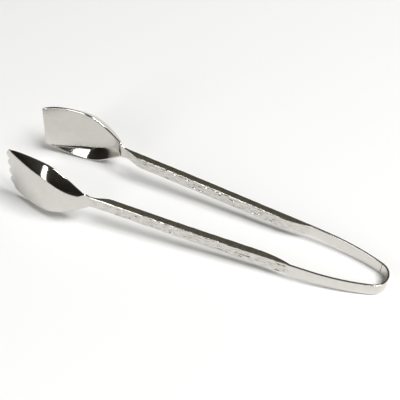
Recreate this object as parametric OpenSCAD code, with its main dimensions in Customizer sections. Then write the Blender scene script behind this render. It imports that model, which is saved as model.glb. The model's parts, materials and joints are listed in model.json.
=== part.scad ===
// Serving tongs pressed and forged from one length of stainless steel: a springy
// U-shaped bow, two thick arms with a hammered grip, a fork head and a spoon head.
// The steel is continuous. It is divided here where its section changes, and at the
// two lines about which the bow flexes.
//
// The shape is drawn in the plane of the U first: the bow's crown touches x = 0, the
// tips point along -X, the fork leg is on -Y, the spoon leg on +Y, and z is measured
// from the middle of the strip's width. lie_down() then lays it on its edge.

/* [Overall] */
// Crown of the bow to the tip of the fork
fork_reach = 248; // [238:1:270]
// Crown of the bow to the front edge of the spoon
spoon_reach = 246; // [238:1:270]
// Crown of the bow to the necks, where the heads begin
neck_x = 187; // [160:1:200]

/* [Strip] */
// Width of the strip, across the edge it lies on
strip_w = 8.8; // [6:0.2:12]
// Thickness of the plain spring strip in the bow
strip_t = 1.3; // [0.8:0.1:2]
// Thickness of the forged arms
arm_t = 5; // [3:0.1:6.5]

/* [Bow] */
// Radius of the crown, on its outer face
crown_r = 10; // [8:0.5:14]
// Angle that each half of the crown turns through
crown_turn = 72; // [60:1:76]
// Radius of the easing curve behind the crown
ease_r = 154; // [110:1:190]
// Angle between a leg and the centre line where the easing curve ends
leg_splay = 4; // [2:0.5:6]
// Radius of the faint bow in the arms
arm_r = 3700; // [2500:50:6000]
// Length of strip from the crown to the line about which each leg flexes
flex_s = 34; // [28:1:42]
// Open width of the cut at each flex line
flex_gap = 0.16; // [0.1:0.02:0.4]

/* [Arms] */
// Length of strip from the crown to where it starts to thicken
ramp_s = 62; // [55:1:70]
// Length over which it thickens, quickly at first
ramp_len = 36; // [16:1:44]
// Length over which the arm thins again before the neck
neck_taper = 15; // [8:1:30]

/* [Heads] */
// Thickness of the sheet in the heads
sheet_t = 1.3; // [0.9:0.1:2]
// Greatest width of a head
head_w = 44.4; // [32:0.2:56]
// Width of a head at its front edge
front_w = 32; // [24:0.2:36]
// Distance from the neck to the widest place
widest_at = 31; // [22:1:36]
// Depth that the bowl is pressed below its rim
bowl_depth = 7.6; // [4:0.2:10]
// Distance from the neck to the deepest place
deepest_at = 22; // [16:1:28]
// Steepness of the wall inside the rim, as depth over width
wall_slope = 1; // [0.8:0.05:1.4]
// Outward slope of the rim where it leaves the neck
set_out = 0.06; // [0:0.01:0.15]
// Radius in which the rim curls in towards the tips
curl_r = 259; // [200:1:500]
// Number of rounded teeth on the fork
teeth = 4; // [3:1:6]
// Depth of the notches between the teeth
notch_d = 1.6; // [0.8:0.1:3]

/* [Hidden] */
FORK = -1;
SPOON = 1;

// Sections across and along a head, and steps along each curve of the strip
across_plain = 32;
across_tooth = 9;
along_n = 34;
crown_n = 14;
ease_n = 10;
ramp_n = 10;
arm_n = 14;

// How quickly the arm thickens at the start of its ramp
ramp_round = 3;
// How the outline leaves the neck, and how it closes to the front corners
heel_ease = 1.1;
corner_round = 2.5;
// How the bowl deepens from the neck, and how it runs out to the front edge
rise_round = 2.2;
runout_round = 1.7;
// Roundness of the bowl's wall, and its least width
wall_round = 1.3;
least_wall = 0.5;
// Distance from the neck over which the sheet turns square to its own surface
square_in = 3;
// Share of the head's length that the notches fade out over
notch_fade = 0.1;

// ---- the strip's outer face, as three arcs joined in line ----
function lerp(a, b, t) = a + (b - a) * t;
function smooth(t) = let (c = min(max(t, 0), 1)) c * c * (3 - 2 * c);
function arc_len(r, a) = r * a * PI / 180;

crown_len = arc_len(crown_r, crown_turn);
ease_turn = 90 - crown_turn - leg_splay;
ease_len = arc_len(ease_r, ease_turn);

// A point [x, y] on an arc that starts at p with heading h (degrees from the centre
// line, outward positive), turning inward with radius r, after length s
function arc_point(p, h, r, s) =
    let (a = h - s / r * 180 / PI)
    [p[0] - r * (sin(h) - sin(a)), p[1] - r * (cos(h) - cos(a))];

ease_start = arc_point([0, 0], 90, crown_r, crown_len);
arm_start = arc_point(ease_start, 90 - crown_turn, ease_r, ease_len);

function heading(s) =
    s < crown_len ? 90 - s / crown_r * 180 / PI
    : s < crown_len + ease_len ? 90 - crown_turn - (s - crown_len) / ease_r * 180 / PI
    : leg_splay - (s - crown_len - ease_len) / arm_r * 180 / PI;
function face(s) =
    s < crown_len ? arc_point([0, 0], 90, crown_r, s)
    : s < crown_len + ease_len
        ? arc_point(ease_start, 90 - crown_turn, ease_r, s - crown_len)
    : arc_point(arm_start, leg_splay, arm_r, s - crown_len - ease_len);
// The same point moved into the steel, square to the face
function inside(s, depth) = face(s) - depth * [sin(heading(s)), cos(heading(s))];

// Length of strip from the crown to the neck, from the arm's chord
neck_s = crown_len + ease_len
    + (neck_x + arm_start[0]) / cos(leg_splay - (neck_x + arm_start[0]) / arm_r * 90 / PI);
neck_face = face(neck_s);

// Thickness of the steel along the arm
function thick(s) =
    s < ramp_s + ramp_len
        ? lerp(arm_t, strip_t, pow(1 - (s - ramp_s) / ramp_len, ramp_round))
    : lerp(sheet_t, arm_t, smooth((neck_s - s) / neck_taper));

// ---- a head, for u = distance from the neck and v = -1..1 across it ----
function reach_of(side) = side == FORK ? fork_reach : spoon_reach;
function head_len(side) = reach_of(side) + neck_face[0];
// The outline is the same on both heads; the spoon is cut off a little sooner
corner_at = pow(1 - pow(front_w / head_w, corner_round), 1 / corner_round);
function half_w(u, len) = u < widest_at
    ? lerp(strip_w, head_w, pow(sin(90 * u / widest_at), heel_ease)) / 2
    : pow(1 - pow((u - widest_at) / (len - widest_at) * corner_at, corner_round),
          1 / corner_round) * head_w / 2;
function rim_y(u) = neck_face[1] + set_out * u - u * u / (2 * curl_r);
function depth(u, len) =
    let (rise = 1 - pow(1 - min(u / deepest_at, 1), rise_round),
         runout = pow(max((u - deepest_at) / (len - deepest_at), 0), runout_round))
    bowl_depth * rise * (1 - runout);
// The wall keeps its slope, so it is a crescent: nothing at the neck and at the corners
function wall(u, z, len) =
    let (w = max(depth(u, len) / wall_slope, least_wall))
    1 - pow(1 - min(max((half_w(u, len) - abs(z)) / w, 0), 1), wall_round);
function back_y(u, z, len) = rim_y(u) + depth(u, len) * wall(u, z, len);

// Distance that the front edge is cut back at height z, between the fork's teeth
function notch(z, side) = side == SPOON ? 0
    : notch_d * (1 - abs(sin((z / front_w + 0.5) * teeth * 180)));
// Places across a head: closer together at the rims of the spoon, even on the fork
function across(side) = side == FORK ? teeth * across_tooth : across_plain;
function v_at(j, side) =
    let (a = 2 * j / across(side) - 1)
    side == FORK ? a : sin(90 * a) * 0.5 + a * 0.5;

// A point of the head's outer surface, and the same point moved in by one sheet
step = 0.05;
function skin(i, j, side, in) =
    let (len = head_len(side),
         t = i / along_n,
         u = len * t,
         z = half_w(u, len) * v_at(j, side),
         cut = notch(z, side) * smooth((t - 1 + notch_fade) / notch_fade),
         y = back_y(u, z, len),
         ahead = min(u + step, len),
         square = min(u / square_in, 1),
         dydu = (back_y(ahead, z, len) - back_y(ahead - step, z, len)) / step,
         zin = z - sign(z) * step,
         dydz = (y - back_y(u, zin, len)) / (step * (z == 0 ? 1 : sign(z))),
         n = [square * dydu, 1, -square * dydz],
         off = in * sheet_t / norm(n))
    [neck_face[0] - u + cut - off * n[0], side * (y - off * n[1]), z - off * n[2]];

// ---- laying the tongs on their edge ----
// The heads' lower rims and the crown's lower edge touch the same flat surface
lean = max([for (side = [FORK, SPOON], k = [1:1:200])
    let (u = head_len(side) * k / 200)
    atan((half_w(u, head_len(side)) - strip_w / 2) / (u - neck_face[0]))]);
low_z = -strip_w / 2 * cos(lean);
tip_x = -max([for (side = [FORK, SPOON], k = [0:1:100])
    let (z = front_w / 2 * k / 100)
    (reach_of(side) - notch(z, side)) * cos(lean) + z * sin(lean)]);
crown_x = strip_w / 2 * sin(lean);
mid_x = (tip_x + crown_x) / 2;

module lie_down() {
    translate([-mid_x, 0, -low_z]) rotate([0, lean, 0]) children();
}

// ---- parts ----
steel = [0.78, 0.77, 0.74];

// A length of plain or thickened strip on one leg, standing on its edge
module strip(side, stations, thickness) {
    outer = [for (s = stations) face(s)];
    inner = [for (k = [len(stations) - 1:-1:0]) inside(stations[k], thickness[k])];
    linear_extrude(height = strip_w, center = true)
        scale([1, side]) polygon(concat(outer, inner));
}

function steps(a, b, n) = [for (k = [0:n]) a + (b - a) * k / n];
function all_of(n, value) = [for (k = [0:n]) value];

// The crown and the first part of the strip on both sides, up to the flex lines
module bow_crown() {
    stop = flex_s - flex_gap / 2;
    round_s = steps(0, crown_len, crown_n);
    ease_s = steps(crown_len + (stop - crown_len) / ease_n, stop, ease_n - 1);
    leg = concat(round_s, ease_s);
    back = [for (k = [len(leg) - 1:-1:0]) leg[k]];
    outer = concat([for (s = back) face(s)],
                   [for (k = [1:len(leg) - 1]) [face(leg[k])[0], -face(leg[k])[1]]]);
    inner = concat([for (k = [len(leg) - 1:-1:0])
                        [inside(leg[k], strip_t)[0], -inside(leg[k], strip_t)[1]]],
                   [for (k = [1:len(leg) - 1]) inside(leg[k], strip_t)]);
    color(steel) lie_down() linear_extrude(height = strip_w, center = true)
        polygon(concat(outer, inner));
}

// The plain strip between the flex line and the forged arm
module spring(side) {
    stations = steps(flex_s + flex_gap / 2, ramp_s, ease_n);
    color(steel) lie_down() strip(side, stations, all_of(ease_n, strip_t));
}

// The forged arm, from the plain strip to the neck
module arm(side) {
    grip_end = neck_s - neck_taper;
    stations = concat(steps(ramp_s, ramp_s + ramp_len, ramp_n),
        steps(ramp_s + ramp_len + 5, grip_end - 5, arm_n),
        steps(grip_end, neck_s, ramp_n));
    last = len(stations) - 1;
    outer = [for (s = stations) face(s)];
    // the neck is cut square to X, where the head meets it
    inner = [for (k = [last:-1:0]) k == last
        ? [neck_face[0], neck_face[1] - sheet_t] : inside(stations[k], thick(stations[k]))];
    color(steel) lie_down() linear_extrude(height = strip_w, center = true)
        scale([1, side]) polygon(concat(outer, inner));
}

// A head: one pressed sheet, closed round its rim
module head(side) {
    m = across(side);
    row = m + 1;
    sheet = row * (along_n + 1);
    points = [for (in = [0, 1], i = [0:along_n], j = [0:m]) skin(i, j, side, in)];
    outer = [for (i = [0:along_n - 1], j = [0:m - 1]) let (a = i * row + j)
        each [[a, a + 1, a + row], [a + 1, a + row + 1, a + row]]];
    inner = [for (f = outer) [f[2] + sheet, f[1] + sheet, f[0] + sheet]];
    loop = concat([for (j = [0:m]) j], [for (i = [1:along_n]) i * row + m],
        [for (j = [m - 1:-1:0]) along_n * row + j], [for (i = [along_n - 1:-1:1]) i * row]);
    rim = [for (k = [0:len(loop) - 1])
        let (a = loop[k], b = loop[(k + 1) % len(loop)])
        each [[b, a, a + sheet], [b, a + sheet, b + sheet]]];
    faces = concat(outer, inner, rim);
    turned = [for (f = faces) [f[2], f[1], f[0]]];
    color(steel) lie_down() polyhedron(points, side == FORK ? turned : faces);
}

bow_crown();
spring(FORK);  // fork_spring
arm(FORK);  // fork_arm
head(FORK);  // fork_head
spring(SPOON);  // spoon_spring
arm(SPOON);  // spoon_arm
head(SPOON);  // spoon_head
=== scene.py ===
# %% [markdown]
# # Serving tongs in polished stainless steel
# The real tongs are one length of steel. A thin flat strip is bent into a bow, and it is
# the spring. On each side it runs into a thick bar with a hammered grip, and each bar is
# pressed flat at its end into a head: a fork on one leg and a spoon on the other.
# The solid model gives the places and the joints. This script dresses it: it makes each
# stretch of steel again with rounded edges, hammer marks and a polish, in the same place.

# %% Load the frame
import json
import math

import bpy
import numpy as np
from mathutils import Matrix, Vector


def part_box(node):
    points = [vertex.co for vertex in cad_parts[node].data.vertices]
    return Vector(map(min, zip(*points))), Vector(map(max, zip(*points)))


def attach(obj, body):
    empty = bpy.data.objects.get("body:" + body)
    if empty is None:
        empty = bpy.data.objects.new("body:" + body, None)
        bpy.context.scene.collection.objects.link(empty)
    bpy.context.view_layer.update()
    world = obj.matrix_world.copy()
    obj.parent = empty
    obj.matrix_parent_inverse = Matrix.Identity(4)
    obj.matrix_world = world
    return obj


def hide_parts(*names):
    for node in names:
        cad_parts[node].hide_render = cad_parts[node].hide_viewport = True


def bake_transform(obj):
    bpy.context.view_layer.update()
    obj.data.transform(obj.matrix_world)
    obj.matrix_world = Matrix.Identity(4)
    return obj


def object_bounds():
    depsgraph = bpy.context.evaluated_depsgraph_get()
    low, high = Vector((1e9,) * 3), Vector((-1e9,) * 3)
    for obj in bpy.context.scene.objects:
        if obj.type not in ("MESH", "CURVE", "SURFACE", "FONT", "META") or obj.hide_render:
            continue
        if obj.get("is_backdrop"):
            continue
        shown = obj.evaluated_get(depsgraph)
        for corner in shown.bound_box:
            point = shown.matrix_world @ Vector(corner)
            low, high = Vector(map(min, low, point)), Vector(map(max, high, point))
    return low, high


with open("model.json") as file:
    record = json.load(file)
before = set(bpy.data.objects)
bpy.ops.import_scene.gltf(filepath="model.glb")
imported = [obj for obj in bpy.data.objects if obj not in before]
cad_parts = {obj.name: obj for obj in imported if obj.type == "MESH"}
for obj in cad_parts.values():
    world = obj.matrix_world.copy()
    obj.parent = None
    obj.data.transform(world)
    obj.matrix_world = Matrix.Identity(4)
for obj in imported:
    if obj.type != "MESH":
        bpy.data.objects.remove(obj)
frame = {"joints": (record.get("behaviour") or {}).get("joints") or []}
cad_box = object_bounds()
mm = 0.001
print("solid model, mm:", [round(v / mm, 1) for v in cad_box[1] - cad_box[0]])

# %% [markdown]
# ## Where the tongs lie
# It is easiest to draw the tongs in the plane of their U, with the crown of the bow at
# the origin and the tips along -X, and then to lay them on their edge. The heads are
# wider than the strip, so the tongs lean a little. The flex joints' axis stands across
# the strip, so it says how far they lean, and the crown's box says where the crown is.

# %% Lay the U on its edge
strip_w = 8.8 * mm
flex_axis = next(j["axis"] for j in frame["joints"] if j["name"] == "spoon_flex")
lean = math.atan2(flex_axis[0], flex_axis[2])
crown_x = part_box("bow_crown")[1].x - strip_w / 2 * math.sin(lean)
PLACE = np.array([crown_x, 0.0, strip_w / 2 * math.cos(lean)])
TURN = np.array([[math.cos(lean), 0, math.sin(lean)],
                 [0, 1, 0],
                 [-math.sin(lean), 0, math.cos(lean)]])


def lie_down(points):
    """Points drawn in the plane of the U, moved to where the tongs lie."""
    return np.asarray(points, float) @ TURN.T + PLACE


print(f"lean {math.degrees(lean):.2f} degrees, crown at x = {crown_x / mm:.2f} mm")

# %% [markdown]
# ## The line of the strip
# The strip's outer face follows three arcs that join in line: the tight crown, a long
# easing curve, and the faint bow of the arm. Each is written with its radius and the
# angle that it turns through, so a place on the strip is found from one number, the
# length s measured along the steel from the crown.

# %% Arcs of the bow and the arms
crown_r = 10 * mm
crown_turn = math.radians(72)
ease_r = 154 * mm
leg_splay = math.radians(4)
arm_r = 3700 * mm
crown_len = crown_r * crown_turn
ease_len = ease_r * (math.pi / 2 - crown_turn - leg_splay)


def heading(s):
    """Angle between the strip and the centre line, outward positive."""
    crown = math.pi / 2 - s / crown_r
    ease = math.pi / 2 - crown_turn - (s - crown_len) / ease_r
    arm = leg_splay - (s - crown_len - ease_len) / arm_r
    return np.where(s < crown_len, crown, np.where(s < crown_len + ease_len, ease, arm))


def along_arc(start, h, radius, length):
    """The point that an arc reaches, turning inward from heading h."""
    a = h - length / radius
    return np.stack([start[0] - radius * (math.sin(h) - np.sin(a)),
                     start[1] - radius * (math.cos(h) - np.cos(a))], -1)


ease_start = along_arc((0, 0), math.pi / 2, crown_r, crown_len)
arm_start = along_arc(ease_start, math.pi / 2 - crown_turn, ease_r, ease_len)


def face(s):
    """The strip's outer face after length s, as x and y."""
    s = np.asarray(s, float)
    crown = along_arc((0, 0), math.pi / 2, crown_r, s)
    ease = along_arc(ease_start, math.pi / 2 - crown_turn, ease_r, s - crown_len)
    arm = along_arc(arm_start, leg_splay, arm_r, s - crown_len - ease_len)
    s = s[..., None]
    return np.where(s < crown_len, crown, np.where(s < crown_len + ease_len, ease, arm))


def outward(s):
    """The direction square to the outer face, away from the steel."""
    return np.stack([np.sin(heading(s)), np.cos(heading(s))], -1)


print("the arm starts at, mm:", np.round(arm_start / mm, 2))

# %% [markdown]
# ## Small helpers for node trees
# A Geometry Nodes tree can be drawn by hand in the node editor, or built in a script. A
# script keeps each size next to the piece that it belongs to. Three helpers keep that
# short: one opens a tree with named inputs, one adds a node and fills its sockets, and
# one runs a tree on an object and keeps the result as a plain mesh.

# %% Helpers for node trees


def new_tree(name, inputs):
    """An empty Geometry Nodes tree with named inputs, and its two end nodes."""
    tree = bpy.data.node_groups.new(name, "GeometryNodeTree")
    tree.interface.new_socket("Geometry", in_out="INPUT", socket_type="NodeSocketGeometry")
    for label, kind in inputs:
        tree.interface.new_socket(label, in_out="INPUT", socket_type=f"NodeSocket{kind}")
    tree.interface.new_socket("Geometry", in_out="OUTPUT", socket_type="NodeSocketGeometry")
    return tree, tree.nodes.new("NodeGroupInput"), tree.nodes.new("NodeGroupOutput")


def node(tree, kind, settings=None, **sockets):
    """Adds a node. Each socket, with _ for a space, gets a value or another output."""
    made = tree.nodes.new(kind)
    for key, value in (settings or {}).items():
        setattr(made, key, value)
    for key, value in sockets.items():
        numbered = key[0] == "i" and key[1:].isdigit()
        socket = made.inputs[int(key[1:]) if numbered else key.replace("_", " ")]
        if isinstance(value, bpy.types.NodeSocket):
            tree.links.new(value, socket)
        else:
            socket.default_value = value
    return made


def run_tree(obj, tree, values):
    """Runs a tree on obj, and keeps the result as a plain mesh with no modifier."""
    modifier = obj.modifiers.new(tree.name, "NODES")
    modifier.node_group = tree
    sockets = {s.name: s.identifier for s in tree.interface.items_tree if s.in_out == "INPUT"}
    for label, value in values.items():
        modifier[sockets[label]] = value
    bpy.context.view_layer.update()
    evaluated = obj.evaluated_get(bpy.context.evaluated_depsgraph_get())
    plain = bpy.data.meshes.new_from_object(evaluated)
    obj.modifiers.remove(modifier)
    obj.data = plain
    obj.data.name = obj.name
    return obj


print("helpers ready")

# %% [markdown]
# ## A strip swept along its line
# The bow and the two springs have one section all along: a flat rectangle with eased
# edges. A section that follows a path is what Curve to Mesh is for, so a small Geometry
# Nodes tree makes them. It takes the middle line of the strip as a chain of edges. The
# profile is a rectangle with filleted corners, resampled so that its flat sides carry
# many points: a mirror-like face that is one wide quad would shade as if it were bent.
# The tree also stores where each point lies along and across the strip, in an attribute
# called grain, which the polish uses later.

# %% Tree that sweeps a strip
strip_tree, given, result = new_tree("flat_strip", [
    ("Width", "Float"), ("Thickness", "Float"), ("Edge Radius", "Float"),
    ("Start", "Float"), ("Lean", "Vector"), ("Place", "Vector"), ("Steel", "Material")])
PROFILE_POINTS = 156
line = node(strip_tree, "GeometryNodeMeshToCurve", Mesh=given.outputs["Geometry"])
upright = node(strip_tree, "GeometryNodeSetCurveNormal", {"mode": "Z_UP"},
               Curve=line.outputs["Curve"])
length = node(strip_tree, "GeometryNodeSplineParameter")
along = node(strip_tree, "ShaderNodeMath", {"operation": "ADD"},
             i0=length.outputs["Length"], i1=given.outputs["Start"])
keep = strip_tree.nodes.new("GeometryNodeCaptureAttribute")
keep.capture_items.new("FLOAT", "along")
strip_tree.links.new(upright.outputs["Curve"], keep.inputs["Geometry"])
strip_tree.links.new(along.outputs["Value"], keep.inputs["along"])
section = node(strip_tree, "GeometryNodeCurvePrimitiveQuadrilateral",
               Width=given.outputs["Thickness"], Height=given.outputs["Width"])
eased = node(strip_tree, "GeometryNodeFilletCurve", {"mode": "POLY"},
             Curve=section.outputs["Curve"], Count=8, Radius=given.outputs["Edge Radius"])
dense = node(strip_tree, "GeometryNodeResampleCurve", Curve=eased.outputs["Curve"],
             Count=PROFILE_POINTS)
swept = node(strip_tree, "GeometryNodeCurveToMesh", Curve=keep.outputs["Geometry"],
             Profile_Curve=dense.outputs["Curve"], Fill_Caps=True)
place_now = node(strip_tree, "GeometryNodeInputPosition")
parts = node(strip_tree, "ShaderNodeSeparateXYZ", Vector=place_now.outputs["Position"])
grain = node(strip_tree, "ShaderNodeCombineXYZ", X=keep.outputs["along"],
             Y=parts.outputs["Z"])
stored = node(strip_tree, "GeometryNodeStoreNamedAttribute",
              {"data_type": "FLOAT_VECTOR", "domain": "POINT"},
              Geometry=swept.outputs["Mesh"], Name="grain", Value=grain.outputs["Vector"])
laid = node(strip_tree, "GeometryNodeTransform", Geometry=stored.outputs["Geometry"],
            Translation=given.outputs["Place"], Rotation=given.outputs["Lean"])
real = node(strip_tree, "GeometryNodeRealizeInstances", Geometry=laid.outputs["Geometry"])
clad = node(strip_tree, "GeometryNodeSetMaterial", Geometry=real.outputs["Geometry"],
            Material=given.outputs["Steel"])
strip_tree.links.new(clad.outputs["Geometry"], result.inputs["Geometry"])
print(strip_tree.name, "has", len(strip_tree.nodes), "nodes")

# %% [markdown]
# ## Polished steel
# The steel is polished to a near mirror, and then a little dulled by use. A metal has no
# colour of its own apart from its reflection, so the whole look is in three things: the
# warm grey of the reflection, a roughness that wanders a little, and a surface that
# isn't quite even. Long fine lines run with the strip, as a polishing wheel leaves them.
# They come from a noise stretched along the grain attribute. A slow, broad unevenness
# makes the reflections of straight things wave a little, as they do on real cutlery. The
# The hammered grip has darker streaky blotches painted into its colour: a painted reflection of
# the dim room, which stands in for the dark that its dents mirror.

# %% Tone and relief of the steel
WARM_GREY = (0.70, 0.685, 0.65, 1)
DARKER = (0.60, 0.585, 0.55, 1)
# painted reflection: a dark grey that stands in for the dim room mirrored in the dents
PAINTED_DARK_REFLECTION = (0.34, 0.325, 0.29, 1)
# fine lines, about 0.2 mm apart and some 20 mm long
LINE_SCALE = (45, 5200, 1)
# painted dark reflection, in blotches about 4 mm long and 1.5 mm wide
PAINTED_REFLECTION_SCALE = (250, 650, 1)
# broad unevenness, about 8 mm across, and smears left by handling, about 15 mm across
WAVE_SCALE, SMEAR_SCALE = 120.0, 70.0


def steel_tone(tree, flow, smears, painted_reflection):
    """Warm grey, a little darker in the smears, with a painted dark reflection in streaky
    blotches.
    """
    tone = node(tree, "ShaderNodeMix", {"data_type": "RGBA"}, Factor=smears)
    tone.inputs[6].default_value = WARM_GREY
    tone.inputs[7].default_value = DARKER
    # painted dark reflection in streaky blotches, mixed over the warm grey
    streaks = node(tree, "ShaderNodeMapping", Vector=flow, Scale=PAINTED_REFLECTION_SCALE)
    reflection_patches = node(tree, "ShaderNodeTexNoise", Vector=streaks.outputs["Vector"],
                    Scale=1.0, Detail=3.0, Roughness=0.6)
    share = node(tree, "ShaderNodeMapRange", Value=reflection_patches.outputs["Fac"], From_Min=0.45,
                 From_Max=0.75, To_Min=0.0, To_Max=painted_reflection)
    mixed = node(tree, "ShaderNodeMix", {"data_type": "RGBA"}, Factor=share.outputs["Result"])
    tree.links.new(tone.outputs[2], mixed.inputs[6])
    mixed.inputs[7].default_value = PAINTED_DARK_REFLECTION
    return mixed.outputs[2]


def steel_relief(tree, flow, where, line_depth, wave_depth):
    """Fine lines along the strip, and a broad unevenness."""
    stretched = node(tree, "ShaderNodeMapping", Vector=flow, Scale=LINE_SCALE)
    lines = node(tree, "ShaderNodeTexNoise", Vector=stretched.outputs["Vector"],
                 Scale=1.0, Detail=4.0, Roughness=0.6)
    waves = node(tree, "ShaderNodeTexNoise", Vector=where, Scale=WAVE_SCALE, Detail=1.0,
                 Roughness=0.4)
    fine = node(tree, "ShaderNodeBump", Height=lines.outputs["Fac"], Strength=1.0,
                Distance=line_depth)
    broad = node(tree, "ShaderNodeBump", Height=waves.outputs["Fac"], Strength=1.0,
                 Distance=wave_depth, Normal=fine.outputs["Normal"])
    return broad.outputs["Normal"]


print("warm grey of the steel:", WARM_GREY[:3])

# %% Two steels, one polished and one hammered


def steel(name, roughness, line_depth, wave_depth, painted_reflection):
    """A polished steel whose fine lines and painted dark reflection follow the grain attribute.
    """
    made = bpy.data.materials.new(name)
    made.use_nodes = True
    tree = made.node_tree
    tree.nodes.clear()
    out = tree.nodes.new("ShaderNodeOutputMaterial")
    shader = tree.nodes.new("ShaderNodeBsdfPrincipled")
    shader.inputs["Metallic"].default_value = 1
    tree.links.new(shader.outputs["BSDF"], out.inputs["Surface"])
    flow = node(tree, "ShaderNodeAttribute", {"attribute_name": "grain"}).outputs["Vector"]
    where = node(tree, "ShaderNodeTexCoord").outputs["Object"]
    smears = node(tree, "ShaderNodeTexNoise", Vector=where, Scale=SMEAR_SCALE, Detail=3.0,
                  Roughness=0.55, Distortion=0.6).outputs["Fac"]
    dull = node(tree, "ShaderNodeMapRange", Value=smears, From_Min=0.3, From_Max=0.75,
                To_Min=roughness * 0.8, To_Max=roughness * 1.4)
    tree.links.new(steel_tone(tree, flow, smears, painted_reflection), shader.inputs["Base Color"])
    tree.links.new(dull.outputs["Result"], shader.inputs["Roughness"])
    tree.links.new(steel_relief(tree, flow, where, line_depth, wave_depth),
                   shader.inputs["Normal"])
    return made


# the polished steel gets a faint painted dark reflection, and the hammered one a strong one
polished = steel("polished_steel", roughness=0.10, line_depth=0.0006 * mm,
                 wave_depth=0.02 * mm, painted_reflection=0.12)
hammered = steel("hammered_steel", roughness=0.12, line_depth=0.0008 * mm,
                 wave_depth=0.03 * mm, painted_reflection=0.75)
print("steels:", polished.name, hammered.name)

# %% [markdown]
# ## The bow and the two springs
# The bow's crown is stiff, because it is short and curved, and each spring is the plain strip
# between it and the thick arm. Each spring bends when the tongs are squeezed. Here each spring
# is swept as one mesh and left where it lies, with no blend between the bow and its leg, and
# the span laid evenly about the flex line is worked out but not used.

# %% Sweep one strip
strip_t = 1.3 * mm
strip_edge = 0.32 * mm
flex_s = 34 * mm
ramp_s = 62 * mm
seam_s = 12 * mm
STEP = 0.5 * mm
HAIR = 0.004 * mm


def middle(s, side):
    """The strip's middle line at lengths s, drawn in the plane of the U."""
    points = face(abs(s)) - strip_t / 2 * outward(abs(s))
    return np.column_stack([points[:, 0], side * np.sign(s + 1e-12) * points[:, 1], 0 * s])


def swept_strip(name, s, side):
    """A flat strip along the lengths s on one side."""
    points = middle(s, side)
    mesh = bpy.data.meshes.new(name)
    chain = [(k, k + 1) for k in range(len(points) - 1)]
    mesh.from_pydata(points.tolist(), chain, [])
    obj = bpy.data.objects.new(name, mesh)
    bpy.context.scene.collection.objects.link(obj)
    run_tree(obj, strip_tree, {"Width": strip_w, "Thickness": strip_t,
                               "Edge Radius": strip_edge, "Start": float(s[0]),
                               "Lean": (0.0, lean, 0.0), "Place": PLACE.tolist(),
                               "Steel": polished})
    return obj


print("strip, mm:", round(strip_w / mm, 2), "x", round(strip_t / mm, 2))

# %% Finish a mesh


def volume(mesh):
    """The signed volume inside a mesh: negative if its faces point inwards."""
    mesh.calc_loop_triangles()
    co = np.empty(len(mesh.vertices) * 3)
    mesh.vertices.foreach_get("co", co)
    tri = np.empty(len(mesh.loop_triangles) * 3, int)
    mesh.loop_triangles.foreach_get("vertices", tri)
    a, b, c = np.moveaxis(co.reshape(-1, 3)[tri.reshape(-1, 3)], 1, 0)
    return float(np.sum(np.cross(a, b) * c) / 6)


def finish_mesh(obj):
    """Faces outwards, smooth sides and flat end faces."""
    if volume(obj.data) < 0:
        obj.data.flip_normals()
    sides = [len(f.vertices) <= 4 for f in obj.data.polygons]
    obj.data.polygons.foreach_set("use_smooth", sides)
    obj.data.update()
    print(f"{obj.name}: {volume(obj.data) / mm**3:.0f} mm3, {len(sides)} faces")


print("meshes are checked by their volume")

# %% Make the bow and the springs


def steps(a, b, step):
    """Even steps from a to b, about step long, and a hair's breadth inside each end.
    The extra rings keep the shading of the flat ends away from the sides."""
    even = np.linspace(a, b, round((b - a) / step) + 1)
    return np.concatenate([[a, a + HAIR], even[1:-1], [b - HAIR, b]])


bow = swept_strip("bow_strip", steps(-seam_s, seam_s, STEP / 2), 1)
finish_mesh(bow)
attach(bow, "bow")
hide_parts("bow_crown")

LEGS = {"fork": -1, "spoon": 1}
for leg, side in LEGS.items():
    spring = swept_strip(f"{leg}_spring_strip", steps(seam_s, ramp_s, STEP), side)
    finish_mesh(spring)
    ends = middle(np.array([seam_s, 2 * flex_s - seam_s]), side)
    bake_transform(spring)
    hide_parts(f"{leg}_spring")

# %% [markdown]
# ## The arm and the head as one skin
# The arm is forged thick and the head is pressed thin, but they are the same steel, so
# one rule draws both. At each place along the leg there is a row of points across the
# outer face, with the direction that the face looks in. A ring then goes round the
# steel: across the outer face, round the top edge, back across the inner face one
# thickness in, and round the bottom edge. The rings are joined by quads. A bevel on a
# plain solid would be quicker, but it can't follow a thickness that changes all along.

# %% Sizes of the arms and the heads
reach = {"fork": 248 * mm, "spoon": 246 * mm}
neck_x = 187 * mm
arm_t = 5 * mm
ramp_len = 36 * mm
neck_taper = 15 * mm
arm_edge = 0.9 * mm
sheet_t = 1.3 * mm
head_w = 44.4 * mm
front_w = 32 * mm
widest_at = 31 * mm
bowl_depth = 7.59 * mm
deepest_at = 22 * mm
wall_slope = 1.0
set_out = 0.06
curl_r = 259 * mm
TEETH = 4
notch_d = 1.6 * mm
# powers of the curves: the ramp, a head's outline, its depth, and its wall
RAMP_ROUND = 3
HEEL_EASE, CORNER_ROUND = 1.1, 2.5
RISE_ROUND, RUNOUT_ROUND = 2.2, 1.7
WALL_ROUND = 1.3
# the bowl starts softly, its wall has a least width, and an edge is nearly half round
SOFT_HEEL = 6 * mm
LEAST_WALL = 0.5 * mm
EDGE_SHARE = 0.46
arm_run = neck_x + arm_start[0]
neck_s = crown_len + ease_len + arm_run / math.cos(leg_splay - arm_run / arm_r / 2)
neck_face = face(neck_s)
print("the neck is at, mm:", np.round(neck_face / mm, 2), "s =", round(neck_s / mm, 1))

# %% [markdown]
# ## The form of a head
# A head is pressed from flat sheet between two dies. Its middle is nearly flat, and a
# wall runs round it up to the rim. The wall has one slope everywhere, so it is wide where
# the bowl is deep and narrow where it is shallow: seen from outside it is a crescent. It
# could be sculpted, but a press tool has a plain rule, and so have these functions: an
# outline, a depth along the head, and the wall's slope.

# %% Outline and depth of a head


def smooth(t):
    """0 to 1 with a soft start and a soft end."""
    t = np.clip(t, 0, 1)
    return t * t * (3 - 2 * t)


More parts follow.
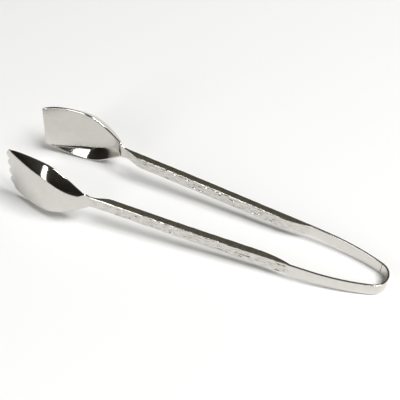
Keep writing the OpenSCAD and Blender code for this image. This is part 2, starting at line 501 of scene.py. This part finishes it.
def half_width(u, head_len):
    """Half the width of a head at distance u from the neck."""
    corner_at = (1 - (front_w / head_w) ** CORNER_ROUND) ** (1 / CORNER_ROUND)
    heel = np.sin(math.pi / 2 * np.clip(u / widest_at, 0, 1)) ** HEEL_EASE
    fore = np.clip((u - widest_at) / (head_len - widest_at), 0, 1) * corner_at
    return np.where(u < widest_at, (strip_w + (head_w - strip_w) * heel) / 2,
                    (1 - fore ** CORNER_ROUND) ** (1 / CORNER_ROUND) * head_w / 2)


def depth_at(u, head_len):
    """How deep the bowl is at distance u from the neck."""
    rise = 1 - (1 - np.minimum(u / deepest_at, 1)) ** RISE_ROUND
    runout = np.clip((u - deepest_at) / (head_len - deepest_at), 0, 1) ** RUNOUT_ROUND
    return bowl_depth * rise * (1 - runout)


def back_y(u, z, half, head_len):
    """How far the outer face is from the centre line at u and height z."""
    depth = depth_at(u, head_len) * smooth(u / SOFT_HEEL)
    width = np.maximum(depth / wall_slope, LEAST_WALL)
    wall = 1 - (1 - np.clip((half - np.abs(z)) / width, 0, 1)) ** WALL_ROUND
    rim = neck_face[1] + set_out * u - u * u / (2 * curl_r)
    return rim + depth * wall


def notch(z):
    """How far the fork's front edge is cut back at height z, between its teeth."""
    return notch_d * (1 - np.abs(np.sin((z / front_w + 0.5) * TEETH * math.pi)))


print("teeth:", TEETH, "notches, mm deep:", round(notch_d / mm, 1))

# %% [markdown]
# ## Rows across a leg
# The arm is a bar. It grows from the strip to its full thickness on its inner side, over
# a ramp, and thins again to sheet before the neck. Its rows are evenly spaced and
# straight across. The head's rows are crowded near the neck, where the form turns most.
# Each point of a row also has the direction that its face looks in. On a head that is
# worked out from the neighbouring points, and near the neck it eases over from the arm's.

# %% The outer face of a whole leg
FACE_POINTS = 65
ARM_STEP = 0.35 * mm
HEAD_ROWS = 150
ROW_CROWDING = 1.4
NOTCH_FADE = 0.1
SQUARE_IN = 4 * mm


def arm_thickness(s):
    """Thickness of the steel along the arm: it grows on the inner side."""
    left = np.clip(1 - (s - ramp_s) / ramp_len, 0, 1)
    grows = arm_t - (arm_t - strip_t) * left ** RAMP_ROUND
    thins = sheet_t + (arm_t - sheet_t) * smooth((neck_s - s) / neck_taper)
    return np.where(s < ramp_s + ramp_len, grows, thins)


def leg_face(leg):
    """Rows of points across the outer face of one leg, drawn in the plane of the U."""
    side, head_len = LEGS[leg], reach[leg] + neck_face[0]
    across = np.linspace(-1, 1, FACE_POINTS)
    s = steps(ramp_s, neck_s, ARM_STEP)
    thick = arm_thickness(s)
    edge = strip_edge + (arm_edge - strip_edge) * smooth((s - ramp_s) / ramp_len)
    edge = np.minimum(edge, EDGE_SHARE * thick)
    z = across * (strip_w / 2 - edge)[:, None]
    x, y = face(s)[:, :1], face(s)[:, 1:]
    arm = np.stack([x + 0 * z, y + 0 * z, z], -1)
    looks = np.stack([outward(s)[:, :1] + 0 * z, outward(s)[:, 1:] + 0 * z, 0 * z], -1)
    rim = EDGE_SHARE * sheet_t
    u = (head_len - rim) * np.linspace(0, 1, HEAD_ROWS + 1)[1:] ** ROW_CROWDING
    u = np.concatenate([[HAIR], u])
    half = half_width(u, head_len)[:, None]
    z = across * (half - rim)
    t = (u / head_len)[:, None]
    fade = smooth((t - 1 + NOTCH_FADE) / NOTCH_FADE)
    cut = notch(z) * fade if leg == "fork" else 0 * z
    y = back_y(u[:, None], z, half, head_len)
    head = np.stack([neck_face[0] - u[:, None] + cut + 0 * z, y, z], -1)
    du, dz = np.gradient(np.concatenate([arm[-1:], head]), axis=(0, 1))
    square = np.cross(dz, du)
    square /= np.linalg.norm(square, axis=-1, keepdims=True)
    square *= np.sign(square[..., 1:2])
    near = smooth(u / SQUARE_IN)[:, None, None]
    head_looks = looks[-1:] * (1 - near) + square[1:] * near
    head_looks /= np.linalg.norm(head_looks, axis=-1, keepdims=True)
    rows = {
        "outer": np.concatenate([arm, head]),
        "looks": np.concatenate([looks, head_looks]),
        "thick": np.concatenate([thick, 0 * u + sheet_t]),
        "edge": np.concatenate([edge, 0 * u + rim]),
        "along": np.concatenate([s, neck_s + u]),
    }
    rows["outer"][..., 1] *= side
    rows["looks"][..., 1] *= side
    return rows, len(s) - 1


print("points across a face:", FACE_POINTS, "rows in a head:", HEAD_ROWS + 1)

# %% [markdown]
# ## Rings with rounded edges
# Forged and pressed steel has no sharp edges: they are eased on the wheel, and the round
# corner is what carries the bright line. So each edge of a ring is a quarter circle, a
# straight stretch, and a quarter circle again. The front edge of a head is rounded in
# the same way, by a few more rings that shrink towards the middle of the sheet.

# %% Rounded edges
CORNER_STEPS = 6
EDGE_STEPS = 4


def unit(v):
    """Directions made one unit long."""
    return v / np.linalg.norm(v, axis=-1, keepdims=True)


def edge_arc(point, look, out, thick, radius):
    """Points from the outer face round one edge to the inner face."""
    made = []
    for k in range(1, CORNER_STEPS + 1):
        a = math.pi / 2 * k / CORNER_STEPS
        made.append(point + radius * ((math.cos(a) - 1) * look + math.sin(a) * out))
    for k in range(1, EDGE_STEPS + 1):
        down = radius + (thick - 2 * radius) * k / EDGE_STEPS
        made.append(point - down * look + radius * out)
    for k in range(1, CORNER_STEPS + 1):
        a = math.pi / 2 * k / CORNER_STEPS
        made.append(point - (thick - radius + radius * math.sin(a)) * look
                    + radius * math.cos(a) * out)
    return made


RING_POINTS = 2 * FACE_POINTS - 2 + 2 * (2 * CORNER_STEPS + EDGE_STEPS)
print("points round a ring:", RING_POINTS)

# %% Rings round the steel


def rings(rows):
    """Closed rings round the leg. For each of a ring's points it also gives the face point
    that it belongs to, its share of a hammer mark, and 0 or 1 for the outer or inner side."""
    outer, looks = rows["outer"], rows["looks"]
    thick, radius = rows["thick"][:, None], rows["edge"][:, None]
    inner = outer - thick[..., None] * looks
    last = FACE_POINTS - 1
    fading = [math.cos(math.pi / 2 * k / CORNER_STEPS) ** 2 for k in range(1, CORNER_STEPS)]
    arc_share = fading + [0.0] * (EDGE_STEPS + 1) + fading[::-1] + [1.0]
    arc_side = [0] * (len(arc_share) // 2) + [1] * (len(arc_share) - len(arc_share) // 2)
    arcs = {}
    for j, other in ((last, last - 1), (0, 1)):
        forward = unit(np.gradient(outer[:, j], axis=0))
        out = unit(np.cross(looks[:, j], forward))
        away = np.sum(out * (outer[:, j] - outer[:, other]), -1, keepdims=True)
        arcs[j] = edge_arc(outer[:, j], looks[:, j], out * np.sign(away), thick, radius)
    made = [outer[:, j] for j in range(FACE_POINTS)] + arcs[last]
    made += [inner[:, j] for j in range(last - 1, 0, -1)] + arcs[0][::-1]
    owner = [*range(FACE_POINTS), *[last] * len(arc_share),
             *range(last - 1, 0, -1), *[0] * len(arc_share)]
    share = [1.0] * FACE_POINTS + arc_share + [1.0] * (last - 1) + arc_share[::-1]
    side = [0] * FACE_POINTS + arc_side + [1] * (last - 1) + arc_side[::-1]
    return np.stack(made, 1), np.array(owner), np.array(share), np.array(side)


print("a ring has two faces and two rounded edges")

# %% Rounded front edge of a head


def front_rings(rows, last_ring, owner):
    """Rings that round off the front edge of a head, beyond its last ring."""
    half, radius = rows["thick"][-1] / 2, rows["edge"][-1]
    middle_of = (rows["outer"][-1] - half * rows["looks"][-1])[owner]
    ahead = unit(rows["outer"][-1] - rows["outer"][-3])[owner]
    made = []
    for k in range(1, CORNER_STEPS + 1):
        a = math.pi / 2 * k / CORNER_STEPS
        share = (half - radius + radius * math.cos(a)) / half
        made.append(middle_of + (last_ring - middle_of) * share
                    + ahead * (radius * math.sin(a)))
    return np.stack(made)


print("rings round a front edge:", CORNER_STEPS)

# %% [markdown]
# ## From rings to a closed mesh
# Quads join each ring to the next, and the two ends are closed, so the piece is a true
# solid with an inside. An arm's ends are flat faces, and so is the end of a head at the
# neck. A head's front end is wide and only one sheet thick, so it is closed by a row of
# quads from its outer to its inner side. Two attributes go with the mesh. One is grain:
# how far along and across the strip a point is, and on which side. The other is press:
# the way that a hammer would push it.

# %% Faces between rings and across their ends


def ring_quads(count):
    """Quads between each ring and the next."""
    n = RING_POINTS
    return [(a * n + k, a * n + (k + 1) % n, (a + 1) * n + (k + 1) % n, (a + 1) * n + k)
            for a in range(count - 1) for k in range(n)]


def whole_cap(first, turned):
    """One flat face across a whole ring."""
    ring = [first + k for k in range(RING_POINTS)]
    return ring[::-1] if turned else ring


def thin_cap(first):
    """Quads from the outer to the inner side of a ring, and a small face at each edge."""
    arc = 2 * CORNER_STEPS + EDGE_STEPS
    inner = [first + RING_POINTS - arc - j for j in range(FACE_POINTS)]
    quads = [(first + j, first + j + 1, inner[j + 1], inner[j])
             for j in range(FACE_POINTS - 1)]
    top = [first + FACE_POINTS - 1 + k for k in range(arc + 1)]
    low = [inner[0] + k for k in range(arc)] + [first]
    return quads + [tuple(top), tuple(low)]


print("quads between two rings:", len(ring_quads(2)))

# %% A mesh that carries its grain


def skin_mesh(name, made, faces, along, share, side, looks_in, material):
    """A mesh from rings, with the attributes that the hammer and the polish read."""
    mesh = bpy.data.meshes.new(name)
    flat = lie_down(made.reshape(-1, 3))
    mesh.from_pydata(flat.tolist(), [], faces)
    n = len(along)
    grain = np.zeros((len(flat), 3))
    grain[:, 0] = np.repeat(along, RING_POINTS)
    grain[:, 1] = made.reshape(-1, 3)[:, 2]
    grain[:, 2] = np.tile(side, n)
    attribute = mesh.attributes.new("grain", "FLOAT_VECTOR", "POINT")
    attribute.data.foreach_set("vector", grain.ravel())
    attribute = mesh.attributes.new("press", "FLOAT_VECTOR", "POINT")
    press = (looks_in * share[None, :, None]).reshape(-1, 3) @ TURN.T
    attribute.data.foreach_set("vector", press.ravel())
    mesh.materials.append(material)
    obj = bpy.data.objects.new(name, mesh)
    bpy.context.scene.collection.objects.link(obj)
    return obj


print("the grain and the press of a hammer go with each mesh")

# %% [markdown]
# ## Hammer marks
# The grip is struck with a small round-faced hammer or a patterned die, so that it is
# covered with shallow dents that run into each other and leave soft ridges between. A
# Voronoi texture has just this form: the distance to the nearest of many scattered
# points, squared, is a field of bowls. The cells are stretched along the bar, and each
# blow has a force of its own. The marks are real dents in the mesh, and they also nick
# the rounded corners, which is what makes the bright line along the bar's edge broken.
# The whole grip is sunk a little too, because steel that is struck all over is lower.

# %% Inputs of the tree that hammers a bar
hammer_tree, given, result = new_tree("hammered_grip", [
    ("Mark Length", "Float"), ("Mark Width", "Float"), ("Mark Depth", "Float"),
    ("Outer Start", "Float"), ("Outer End", "Float"), ("Inner Start", "Float"),
    ("Inner End", "Float"), ("Fade", "Float"), ("Recess", "Float"), ("Seed", "Float"),
    ("Steel", "Material")])


def maths(operation, first, second=None, third=None, clamp=False):
    """A Math node in the hammer tree, as an output."""
    made = hammer_tree.nodes.new("ShaderNodeMath")
    made.operation = operation
    made.use_clamp = clamp
    for socket, value in zip(made.inputs, (first, second, third)):
        if isinstance(value, bpy.types.NodeSocket):
            hammer_tree.links.new(value, socket)
        elif value is not None:
            socket.default_value = value
    return made.outputs["Value"]


def named(name):
    """A vector attribute of the mesh, as an output."""
    made = node(hammer_tree, "GeometryNodeInputNamedAttribute",
                {"data_type": "FLOAT_VECTOR"}, Name=name)
    return made.outputs["Attribute"]


def ramp_in(edge, distance):
    """0 before edge, rising to 1 over the fade length."""
    made = node(hammer_tree, "ShaderNodeMapRange", {"interpolation_type": "SMOOTHSTEP"},
                Value=maths("DIVIDE", maths("SUBTRACT", distance, edge), given.outputs["Fade"]))
    return made.outputs["Result"]


print("inputs of", hammer_tree.name, "are ready")

# %% Where the grip is
mark = node(hammer_tree, "ShaderNodeSeparateXYZ", Vector=named("grain"))
inner_side = mark.outputs["Z"]
starts = maths("ADD", given.outputs["Outer Start"], maths("MULTIPLY", inner_side, maths(
    "SUBTRACT", given.outputs["Inner Start"], given.outputs["Outer Start"])))
ends = maths("ADD", given.outputs["Outer End"], maths("MULTIPLY", inner_side, maths(
    "SUBTRACT", given.outputs["Inner End"], given.outputs["Outer End"])))
zone = maths("MULTIPLY", ramp_in(starts, mark.outputs["X"]),
             ramp_in(maths("MULTIPLY", ends, -1), maths("MULTIPLY", mark.outputs["X"], -1)))
print("the grip is found with", len(hammer_tree.nodes), "nodes")

# %% Dents from scattered points
# how far the pattern moves for another seed, and for the inner side
SEED_SHIFT, SIDE_SHIFT = 13.7, 31.3
MARK_BLEND, MARK_SCATTER = 0.12, 0.85
MARK_REACH = 0.75
LEAST_BLOW, BLOW_RANGE = 0.35, 0.9
cell_x = maths("ADD", maths("DIVIDE", mark.outputs["X"], given.outputs["Mark Length"]),
               maths("MULTIPLY", given.outputs["Seed"], SEED_SHIFT))
cell_y = maths("ADD", maths("DIVIDE", mark.outputs["Y"], given.outputs["Mark Width"]),
               maths("MULTIPLY", inner_side, SIDE_SHIFT))
cell = node(hammer_tree, "ShaderNodeCombineXYZ", X=cell_x, Y=cell_y)
cells = node(hammer_tree, "ShaderNodeTexVoronoi",
             {"voronoi_dimensions": "2D", "feature": "SMOOTH_F1"},
             Vector=cell.outputs["Vector"], Scale=1.0, Smoothness=MARK_BLEND,
             Randomness=MARK_SCATTER)
bowl = maths("SUBTRACT", 1.0, maths("POWER", maths(
    "DIVIDE", cells.outputs["Distance"], MARK_REACH), 2.0), clamp=True)
by_cell = node(hammer_tree, "ShaderNodeSeparateXYZ", Vector=cells.outputs["Color"])
force = maths("MULTIPLY_ADD", by_cell.outputs["X"], BLOW_RANGE, LEAST_BLOW)
dent = maths("MULTIPLY", zone, maths("ADD", given.outputs["Recess"], maths(
    "MULTIPLY", maths("MULTIPLY", bowl, force), given.outputs["Mark Depth"])))
print("the dents take it to", len(hammer_tree.nodes), "nodes")

# %% Push the steel in
push = node(hammer_tree, "ShaderNodeVectorMath", {"operation": "SCALE"},
            i0=named("press"), Scale=dent)
struck = node(hammer_tree, "GeometryNodeSetPosition", Geometry=given.outputs["Geometry"],
              Offset=push.outputs["Vector"])
real = node(hammer_tree, "GeometryNodeRealizeInstances", Geometry=struck.outputs["Geometry"])
clad = node(hammer_tree, "GeometryNodeSetMaterial", Geometry=real.outputs["Geometry"],
            Material=given.outputs["Steel"])
hammer_tree.links.new(clad.outputs["Geometry"], result.inputs["Geometry"])
print(hammer_tree.name, "has", len(hammer_tree.nodes), "nodes")

# %% [markdown]
# ## Both legs
# The two legs are alike but for their side and their head, so one loop makes both. The
# outer face is hammered almost to the neck, and the inner one over a shorter stretch.
# The arm and the head are kept as two pieces, because the solid model has them so. They
# share the ring at the neck, and no gap shows between them.

# %% Make the arms and the heads
OUTER_GRIP = (neck_s - 5 * mm, neck_s - 130 * mm)
INNER_GRIP = (neck_s - 12 * mm, neck_s - 112 * mm)
for leg, side in LEGS.items():
    rows, seam = leg_face(leg)
    made, owner, share, inner_point = rings(rows)
    into = -rows["looks"][:, owner] * np.where(inner_point, -1, 1)[None, :, None]
    arm = skin_mesh(f"{leg}_arm_bar", made[:seam + 1],
                    [whole_cap(0, True), *ring_quads(seam + 1),
                     whole_cap(seam * RING_POINTS, False)],
                    rows["along"][:seam + 1], share, inner_point, into[:seam + 1], hammered)
    run_tree(arm, hammer_tree, {
        "Mark Length": 4.6 * mm, "Mark Width": 1.9 * mm, "Mark Depth": 0.55 * mm,
        "Outer Start": OUTER_GRIP[1], "Outer End": OUTER_GRIP[0],
        "Inner Start": INNER_GRIP[1], "Inner End": INNER_GRIP[0],
        "Fade": 1.5 * mm, "Recess": 0.08 * mm, "Seed": float(side + 2), "Steel": hammered})
    finish_mesh(arm)
    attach(arm, f"{leg}_leg")
    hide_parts(f"{leg}_arm")

    front = front_rings(rows, made[-1], owner)
    whole = np.concatenate([made[seam:], front])
    along = np.concatenate([rows["along"][seam:], 0 * front[:, 0, 0] + rows["along"][-1]])
    unstruck = np.zeros((len(whole), RING_POINTS, 3))
    head = skin_mesh(f"{leg}_bowl", whole,
                     [whole_cap(0, True), *ring_quads(len(whole)),
                      *thin_cap((len(whole) - 1) * RING_POINTS)],
                     along, share, inner_point, unstruck, polished)
    finish_mesh(head)
    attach(head, f"{leg}_leg")
    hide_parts(f"{leg}_head")

# %% [markdown]
# ## The floor
# The tongs lie on a plain pale floor, wide enough to fill the view from most sides. Its
# paint is nearly matt, so the shadows are soft and the steel isn't mirrored in it.

# %% Floor
FLOOR_HALF = 1.6
floor_mesh = bpy.data.meshes.new("floor")
floor_mesh.from_pydata([(-FLOOR_HALF, -FLOOR_HALF, 0), (FLOOR_HALF, -FLOOR_HALF, 0),
                        (FLOOR_HALF, FLOOR_HALF, 0), (-FLOOR_HALF, FLOOR_HALF, 0)],
                       [], [(0, 1, 2, 3)])
floor = bpy.data.objects.new("floor", floor_mesh)
bpy.context.scene.collection.objects.link(floor)
pale = bpy.data.materials.new("pale_floor")
pale.use_nodes = True
pale_shader = pale.node_tree.nodes["Principled BSDF"]
pale_shader.inputs["Base Color"].default_value = (0.9, 0.9, 0.895, 1)
pale_shader.inputs["Roughness"].default_value = 0.9
pale_shader.inputs["Specular IOR Level"].default_value = 0.1
floor_mesh.materials.append(pale)
floor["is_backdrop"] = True
print("floor, m:", 2 * FLOOR_HALF, "across")

# %% [markdown]
# ## The studio
# Polished steel shows the room more than itself, so the room is the other half of the
# look. The floor is plain and pale, and the upright faces of the tongs mirror it. The
# room above is dim and faintly olive, and the tops of the arms mirror that. A broad soft
# light hangs on the bow's side. Over the tongs it would be mirrored in the arms' long
# corners, as a thick bright line. A tall narrow one stands in front, low enough to show
# as a white patch in the dark walls of the heads.

# %% Two soft lights


def softbox(name, place, aim, width, depth, power):
    """A broad soft light that looks at a point."""
    light = bpy.data.lights.new(name, "AREA")
    light.shape = "RECTANGLE"
    light.size, light.size_y, light.energy = width, depth, power
    obj = bpy.data.objects.new(name, light)
    obj.location = place
    away = obj.location - type(obj.location)(aim)
    obj.rotation_mode = "QUATERNION"
    obj.rotation_quaternion = away.to_track_quat("Z", "Y")
    bpy.context.scene.collection.objects.link(obj)
    return obj


softbox("right", place=(1.3, -0.15, 2.2), aim=(0, 0, 0), width=1.2, depth=1.2, power=72)
softbox("front", place=(-0.46, -1.28, 0.85), aim=(0, 0, 0.02), width=0.36, depth=1.0, power=6)
print("lights:", ", ".join(light.name for light in bpy.data.lights))

# %% The dim room
world = bpy.data.worlds.new("dim_room")
world.use_nodes = True
bpy.context.scene.world = world
sky = world.node_tree
sky.nodes.clear()
sky_out = sky.nodes.new("ShaderNodeOutputWorld")
sky_light = node(sky, "ShaderNodeBackground", Strength=1.0)
sky_way = node(sky, "ShaderNodeTexCoord")
sky_parts = node(sky, "ShaderNodeSeparateXYZ", Vector=sky_way.outputs["Generated"])
sky_ramp = node(sky, "ShaderNodeValToRGB", Fac=sky_parts.outputs["Z"])
tones = [(0.0, (0.80, 0.80, 0.78, 1)), (0.10, (0.55, 0.55, 0.52, 1)),
         (0.20, (0.035, 0.033, 0.028, 1)), (0.50, (0.045, 0.043, 0.034, 1)),
         (0.75, (0.11, 0.105, 0.082, 1)), (1.0, (0.16, 0.155, 0.13, 1))]
stops = sky_ramp.color_ramp.elements
stops[0].position, stops[0].color = tones[0]
stops[1].position, stops[1].color = tones[-1]
for at, tone in tones[1:-1]:
    stops.new(at).color = tone
# above the glow at floor level, the room is darker on its -Y side
sky_side = node(sky, "ShaderNodeMapRange", Value=sky_parts.outputs["Y"], From_Min=-0.5,
                From_Max=0.2, To_Min=0.4, To_Max=1.0)
sky_far = node(sky, "ShaderNodeMapRange", Value=sky_parts.outputs["Z"], From_Min=0.1,
               From_Max=0.25, To_Min=1.0, To_Max=sky_side.outputs["Result"])
sky_tone = node(sky, "ShaderNodeVectorMath", {"operation": "SCALE"},
                i0=sky_ramp.outputs["Color"], Scale=sky_far.outputs["Result"])
sky.links.new(sky_tone.outputs["Vector"], sky_light.inputs["Color"])
sky.links.new(sky_light.outputs["Background"], sky_out.inputs["Surface"])
print("tones in the room, floor level to top:", len(tones))

# %% [markdown]
# ## The camera
# The tongs are seen from above and a little from their bow end, with the heads to the
# left. The camera's place is given by two angles and a distance from the point that it
# looks at, and its roll turns the picture a few degrees. The lens follows from the width
# that is seen at that point.

# %% Camera
CAMERA_AZIMUTH = math.radians(28.18)
CAMERA_ELEVATION = math.radians(47.56)
CAMERA_ROLL = math.radians(-3.97)
CAMERA_DISTANCE = 650 * mm
AIM = np.array([-1.88, 8.45, 14.68]) * mm
SEEN_WIDTH = 250 * mm
camera_data = bpy.data.cameras.new("camera")
camera_data.sensor_width = 36
camera_data.lens = camera_data.sensor_width * CAMERA_DISTANCE / SEEN_WIDTH
camera = bpy.data.objects.new("camera", camera_data)
back = np.array([math.sin(CAMERA_AZIMUTH) * math.cos(CAMERA_ELEVATION),
                 -math.cos(CAMERA_AZIMUTH) * math.cos(CAMERA_ELEVATION),
                 math.sin(CAMERA_ELEVATION)])
level = np.array([math.cos(CAMERA_AZIMUTH), math.sin(CAMERA_AZIMUTH), 0])
upward = np.cross(back, level)
right = level * math.cos(CAMERA_ROLL) + upward * math.sin(CAMERA_ROLL)
top = np.cross(back, right)
spot = AIM + back * CAMERA_DISTANCE
matrix = type(camera.matrix_world)([[*row, p] for row, p in zip(
    np.column_stack([right, top, back]).tolist(), spot.tolist())] + [[0, 0, 0, 1]])
camera.matrix_world = matrix
bpy.context.scene.collection.objects.link(camera)
bpy.context.scene.camera = camera
bpy.context.scene.view_settings.view_transform = "Standard"
print("camera lens, mm:", round(camera_data.lens, 1))

# %% [markdown]
# ## A last look at the size
# The dressed tongs are meant to be about as big as the solid model and to stay inside its box.
# The two boxes are printed.

# %% Print the boxes and finish
shown_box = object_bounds()
for label, box in (("solid", cad_box), ("shown", shown_box)):
    print(label, [[round(v / mm, 2) for v in corner] for corner in box])
